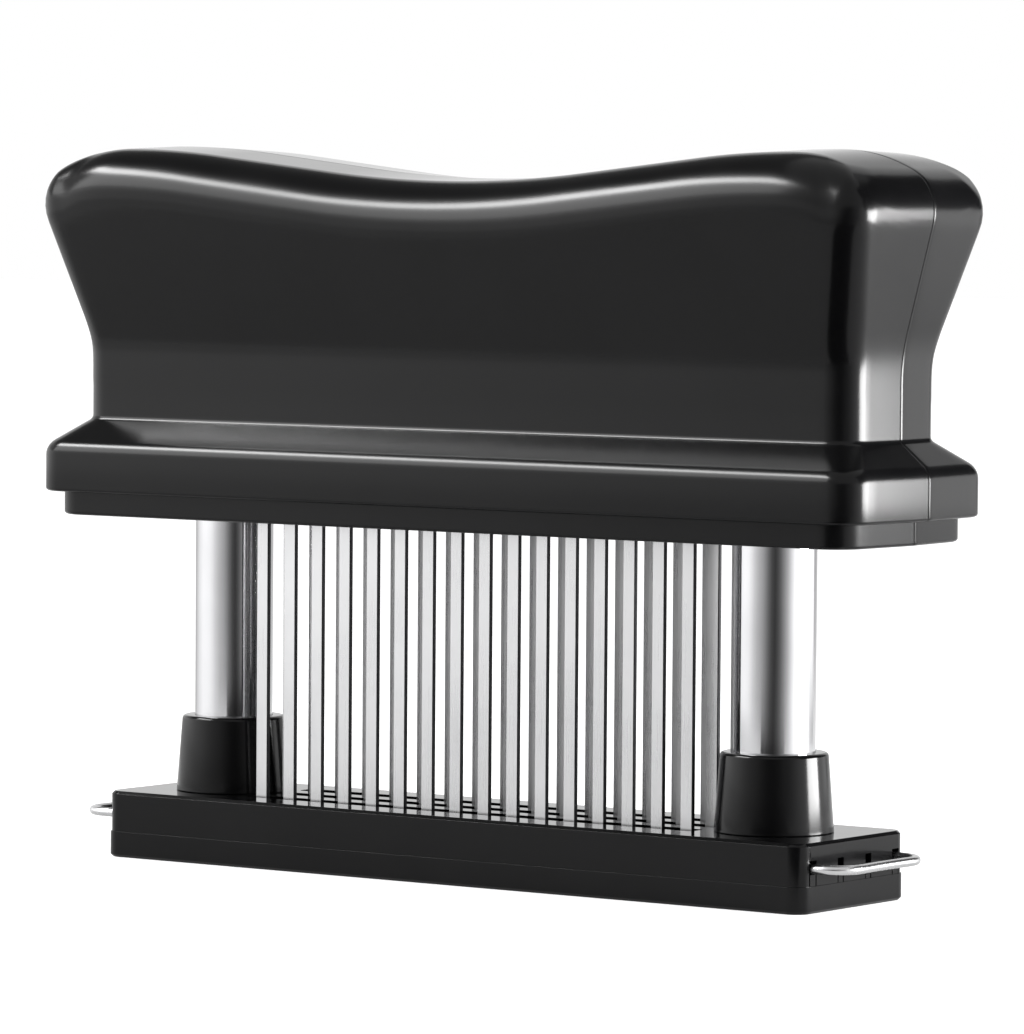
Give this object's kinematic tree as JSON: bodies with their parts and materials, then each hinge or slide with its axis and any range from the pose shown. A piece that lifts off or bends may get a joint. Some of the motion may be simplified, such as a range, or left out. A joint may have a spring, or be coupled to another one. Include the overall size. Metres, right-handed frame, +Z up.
{
  "type": "blade meat tenderizer",
  "caption": "Hand-pressed meat tenderizer: a moulded grip with rows of strip blades slides on two sprung columns over a slotted base held by wire pins.",
  "frame": {"origin": "middle of the underside of the base, on the surface that the tool stands on", "axes": "+X along the grip to the right, +Y to the back, the front faces -Y, +Z up; grip raised"},
  "size_m": [0.153, 0.038, 0.1094],
  "materials": {
    "grip_black": "satin black moulded plastic",
    "base_black": "glossy black moulded plastic",
    "inner_black": "matt black moulded plastic",
    "bush_white": "natural acetal",
    "tube_steel": "polished stainless tube",
    "blade_steel": "fine ground stainless strip",
    "wire_steel": "bright drawn wire",
    "screw_steel": "plain stainless"
  },
  "bodies": {
    "base": {"base_cover": "base_black", "base_plate": "base_black", "left_collar": "base_black", "right_collar": "base_black", "left_tube": "tube_steel", "right_tube": "tube_steel", "left_tube_plug": "inner_black", "right_tube_plug": "inner_black", "tube_screws": "screw_steel", "retaining_rings": "screw_steel", "left_spring": "screw_steel", "right_spring": "screw_steel"},
    "grip": {"front_shell": "grip_black", "rear_shell": "grip_black", "blade_carrier": "inner_black", "clamp_plate": "inner_black", "clamp_screws": "screw_steel", "carrier_screws": "screw_steel", "front_blades": "blade_steel", "middle_blades": "blade_steel", "rear_blades": "blade_steel", "left_guide_bush": "bush_white", "right_guide_bush": "bush_white", "left_spring_post": "inner_black", "right_spring_post": "inner_black"},
    "left_pin": {"left_lock_pin": "wire_steel"},
    "right_pin": {"right_lock_pin": "wire_steel"}
  },
  "joints": [
    {"name": "grip_press", "type": "slide", "parent": "base", "child": "grip", "axis": [0, 0, -1], "range_m": [0, 0.0305], "stiffness_N_per_m": 600, "springref_m": -0.012, "deforming": ["left_spring", "right_spring"]},
    {"name": "left_pin_pull", "type": "slide", "parent": "base", "child": "left_pin", "axis": [-1, 0, 0], "range_m": [0, 0.0205]},
    {"name": "right_pin_pull", "type": "slide", "parent": "base", "child": "right_pin", "axis": [1, 0, 0], "range_m": [0, 0.0205]}
  ]
}
